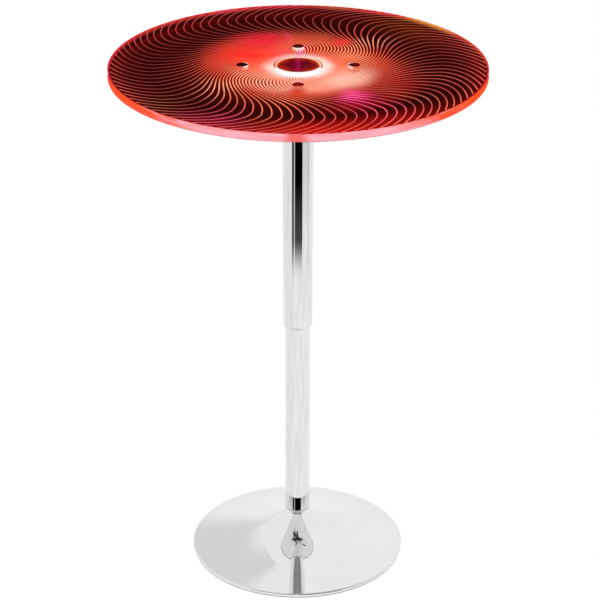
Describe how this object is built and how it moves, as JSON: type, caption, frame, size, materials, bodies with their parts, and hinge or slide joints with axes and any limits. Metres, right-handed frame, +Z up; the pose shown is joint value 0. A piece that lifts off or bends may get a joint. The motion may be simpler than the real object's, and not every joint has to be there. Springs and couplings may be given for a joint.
{
  "type": "light up led table",
  "caption": "Round high table on a gas lift column: clear edge-lit top with wavy glowing lines and a light module in the middle, conical chromed sleeve, trumpet base.",
  "frame": {"origin": "on the floor at the middle of the floor ring's underside, on the column's axis", "axes": "+Z up along the column; +X to the viewer's right and +Y away from the viewer of the picture"},
  "size_m": [0.7139, 0.714, 1.041],
  "materials": {
    "chrome": "polished chrome plate on steel tube and spun sheet",
    "cast_iron": "as cast, painted black",
    "turned_steel": "turned, zinc plated",
    "black_steel": "black powder coat",
    "black_rubber": "matt",
    "black_nylon": "moulded, fine grain",
    "natural_nylon": "moulded, natural white",
    "clear_acrylic": "clear, polished, lit from its bore",
    "black_backing": "smooth black sheet that glows red",
    "red_cap": "dark red, moulded, polished",
    "black_cap": "near black, moulded",
    "white_abs": "moulded, white",
    "black_abs": "moulded, fine grain",
    "led_lens": "clear lens over light chips",
    "strip_film": "flexible circuit film",
    "circuit_board": "solder masked board",
    "cell_jacket": "plain printed jacket",
    "brass": "nickel over brass",
    "foam_tape": "closed cell foam",
    "lead_sheath": "soft sheath"
  },
  "bodies": {
    "base": {"base_shell": "chrome", "base_ballast": "cast_iron", "floor_ring": "black_rubber", "hub_tube": "turned_steel", "base_washer": "turned_steel", "base_nut": "turned_steel", "column_foot": "turned_steel", "lower_column": "chrome", "guide_bush": "black_nylon", "bearing_lower_race": "turned_steel"},
    "bearing": {"bearing_cage": "brass", "bearing_balls": "turned_steel"},
    "rod": {"bearing_upper_race": "turned_steel", "piston_rod": "turned_steel", "rod_clip": "turned_steel", "clip_washer": "turned_steel", "rod_bumper": "black_rubber", "piston": "turned_steel", "piston_seal": "black_rubber"},
    "lever": {"release_lever": "turned_steel", "lever_grip": "black_abs"},
    "valve": {"valve_pin": "turned_steel"},
    "button": {"power_button": "white_abs"},
    "upper": {"gas_cylinder": "black_steel", "cylinder_gland": "black_nylon", "valve_body": "turned_steel", "tabletop_panel": "clear_acrylic", "backing_disc": "black_backing", "top_bolts": "turned_steel", "bolt_washers": "turned_steel", "bolt_nuts": "turned_steel", "bolt_caps": "black_cap", "plate_pads": "black_rubber", "mount_plate": "black_steel", "light_hub": "white_abs", "led_strip": "strip_film", "led_chips": "led_lens", "light_cap": "red_cap", "hub_screws": "turned_steel", "lift_housing": "black_steel", "taper_socket": "black_steel", "pivot_pin": "turned_steel", "pivot_clip": "turned_steel", "upper_sleeve": "chrome", "sleeve_glide": "natural_nylon", "sleeve_collar": "black_nylon", "battery_box": "black_abs", "box_tape": "foam_tape", "battery_cover": "black_abs", "battery_cells": "cell_jacket", "battery_contacts": "brass", "control_board": "circuit_board", "switch_body": "black_abs", "cover_screws": "turned_steel", "light_lead": "lead_sheath"}
  },
  "joints": [
    {"name": "swivel", "type": "hinge", "parent": "base", "child": "rod", "pos_m": [0, 0, 0.1013], "axis": [0, 0, 1], "continuous": true},
    {"name": "cage_spin", "type": "hinge", "parent": "base", "child": "bearing", "pos_m": [0, 0, 0.1013], "axis": [0, 0, 1], "continuous": true},
    {"name": "lift_travel", "type": "slide", "parent": "rod", "child": "upper", "axis": [0, 0, 1], "range_m": [-0.33, 0]},
    {"name": "lever_tilt", "type": "hinge", "parent": "upper", "child": "lever", "pos_m": [0.01556, 0.01556, 1.001], "axis": [0.7071, -0.7071, 0], "range_deg": [0, 8], "stiffness_Nm_per_rad": 2, "springref_deg": -11.46},
    {"name": "valve_press", "type": "slide", "parent": "upper", "child": "valve", "axis": [0, 0, -1], "range_m": [0, 0.0034]},
    {"name": "button_press", "type": "slide", "parent": "upper", "child": "button", "axis": [0, 0, 1], "range_m": [0, 0.0015], "stiffness_N_per_m": 400, "springref_m": -0.002}
  ],
  "couplings": [
    {"joint": "cage_spin", "follows": "swivel", "ratio": 0.5},
    {"joint": "valve_press", "follows": "lever_tilt", "m_per_rad": 0.0235}
  ]
}
